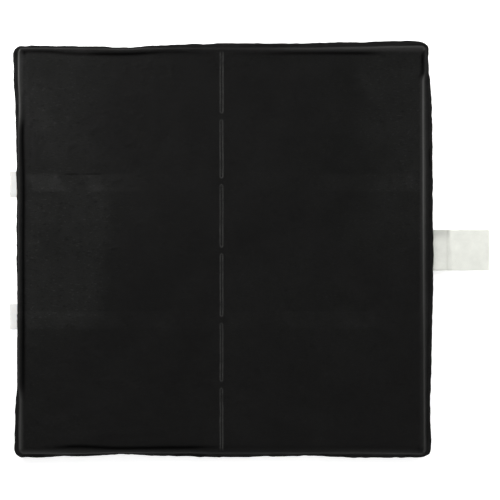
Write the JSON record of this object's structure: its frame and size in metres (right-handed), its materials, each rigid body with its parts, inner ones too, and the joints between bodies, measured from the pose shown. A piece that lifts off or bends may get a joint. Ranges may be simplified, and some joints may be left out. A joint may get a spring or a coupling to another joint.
{
  "type": "honeycomb carbon filter pad",
  "caption": "Flat square gas filter pad: granule-filled honeycomb panels in a strip frame, closed in a black non-woven bag with a welded flange, a white pull tab and hook tape strips.",
  "frame": {"origin": "centre of the pad's flat back face, on the surface that it lies on", "axes": "+Z out of the front face, +X towards the pull tab, +Y along the centre seam"},
  "size_m": [0.4053, 0.348, 0.013],
  "materials": {
    "cover_nonwoven": "black needled non-woven, matt, with pressed heat seals",
    "frame_board": "dark grey moulded strip",
    "honeycomb": "black thin-walled cells",
    "carbon": "activated carbon granules",
    "net": "fine dark scrim",
    "ribbon": "white non-woven ribbon",
    "hook_tape": "milky white hook tape"
  },
  "bodies": {
    "pad": {"front_cover": "cover_nonwoven", "back_cover": "cover_nonwoven", "front_net": "net", "back_net": "net", "left_rail": "frame_board", "right_rail": "frame_board", "top_rail": "frame_board", "bottom_rail": "frame_board", "centre_spine": "frame_board", "upper_left_rib": "frame_board", "upper_right_rib": "frame_board", "lower_left_rib": "frame_board", "lower_right_rib": "frame_board", "honeycomb_left_top": "honeycomb", "honeycomb_left_middle": "honeycomb", "honeycomb_left_bottom": "honeycomb", "honeycomb_right_top": "honeycomb", "honeycomb_right_middle": "honeycomb", "honeycomb_right_bottom": "honeycomb", "carbon_bed_left_top": "carbon", "carbon_bed_left_middle": "carbon", "carbon_bed_left_bottom": "carbon", "carbon_bed_right_top": "carbon", "carbon_bed_right_middle": "carbon", "carbon_bed_right_bottom": "carbon", "pull_tab_root": "ribbon", "upper_strip_root": "hook_tape", "lower_strip_root": "hook_tape"},
    "tab": {"pull_tab": "ribbon"},
    "upper_fastening": {"upper_strip": "hook_tape"},
    "lower_fastening": {"lower_strip": "hook_tape"}
  },
  "joints": [
    {"name": "pull_tab_flex", "type": "hinge", "parent": "pad", "child": "tab", "pos_m": [0.18, 0, 0.0062], "axis": [0, -1, 0], "range_deg": [-135, 135]},
    {"name": "upper_strip_flex", "type": "hinge", "parent": "pad", "child": "upper_fastening", "pos_m": [-0.1743, 0.05617, 0.0062], "axis": [0, 1, 0], "range_deg": [-90, 90]},
    {"name": "lower_strip_flex", "type": "hinge", "parent": "pad", "child": "lower_fastening", "pos_m": [-0.1743, -0.05617, 0.0062], "axis": [0, 1, 0], "range_deg": [-90, 90]}
  ]
}
